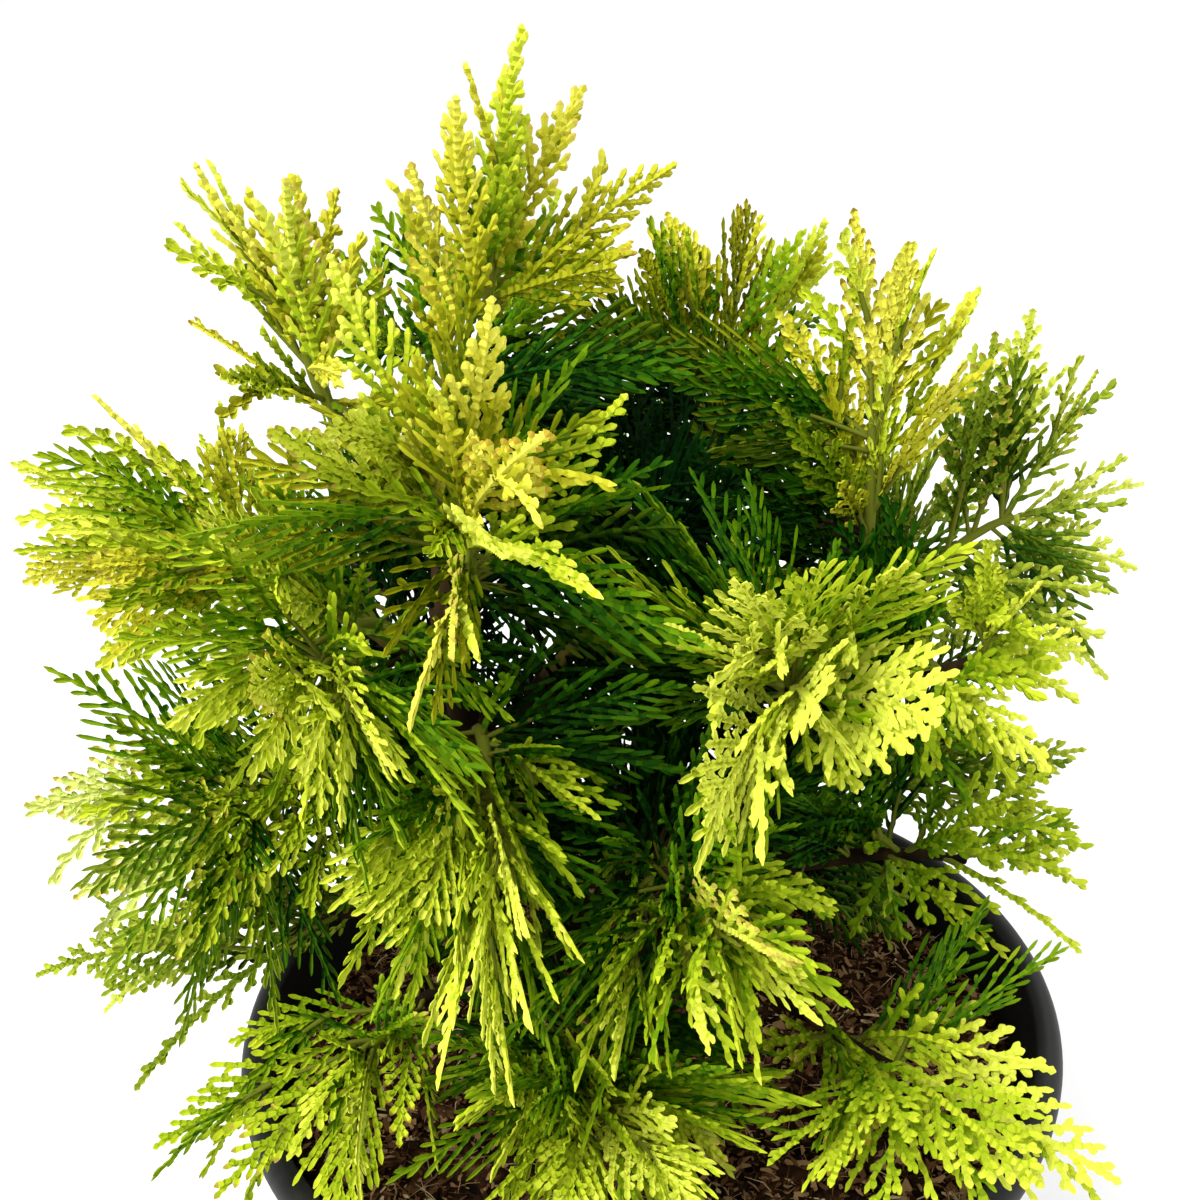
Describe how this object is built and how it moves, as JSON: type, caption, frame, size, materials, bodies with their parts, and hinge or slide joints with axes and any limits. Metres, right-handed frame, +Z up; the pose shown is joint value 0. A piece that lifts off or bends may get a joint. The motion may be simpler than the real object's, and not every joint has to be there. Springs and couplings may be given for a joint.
{
  "type": "potted golden globe arborvitae",
  "caption": "Young golden globe arborvitae with flat fan sprays on arching boughs, growing in soil in a round black nursery pot.",
  "frame": {"origin": "centre of the pot's flat underside, where it stands on the ground", "axes": "+Z up along the pot's axis; -Y towards the side the picture was taken from; +X to that viewer's right"},
  "size_m": [0.278, 0.2147, 0.367],
  "materials": {
    "pot_plastic": "satin",
    "soil_earth": "matte",
    "bark": "matte",
    "foliage_gold": "matte",
    "foliage_lime": "matte",
    "foliage_green": "matte"
  },
  "bodies": {
    "root": {"pot": "pot_plastic", "soil": "soil_earth", "trunk": "bark", "bough_right_leader": "bark", "bough_left": "bark", "bough_lower_left": "bark", "bough_low_left": "bark", "bough_upper_left": "bark", "bough_front_upper": "bark", "bough_front_left": "bark", "bough_front_droop": "bark", "bough_front_centre": "bark", "bough_front_low_left": "bark", "bough_front_low_mid": "bark", "bough_inner": "bark", "bough_back_upper": "bark", "bough_back_left": "bark", "bough_back_low_left": "bark", "bough_back_mid": "bark", "bough_back_low": "bark", "bough_back_centre": "bark", "bough_right_upright": "bark", "bough_right_back": "bark", "bough_right_near": "bark", "bough_right": "bark", "bough_right_low": "bark", "bough_front_low_right": "bark", "bough_back_right": "bark", "bough_back_low_right": "bark", "foliage_top": "foliage_gold", "foliage_upper_left": "foliage_lime", "foliage_front_upper": "foliage_green", "foliage_front_left": "foliage_gold", "foliage_left": "foliage_lime", "foliage_lower_left": "foliage_green", "foliage_low_left": "foliage_gold", "foliage_front_droop": "foliage_lime", "foliage_front_centre": "foliage_green", "foliage_front_low_left": "foliage_gold", "foliage_front_low_mid": "foliage_lime", "foliage_front_low_right": "foliage_green", "foliage_right_near": "foliage_gold", "foliage_right": "foliage_lime", "foliage_right_upright": "foliage_green", "foliage_right_low": "foliage_gold", "foliage_right_back": "foliage_lime", "foliage_inner": "foliage_green", "foliage_back_centre": "foliage_gold", "foliage_back_upper": "foliage_lime", "foliage_back_left": "foliage_green", "foliage_back_low_left": "foliage_gold", "foliage_back_mid": "foliage_lime", "foliage_back_low": "foliage_green", "foliage_back_right": "foliage_gold", "foliage_back_low_right": "foliage_lime"}
  },
  "joints": []
}
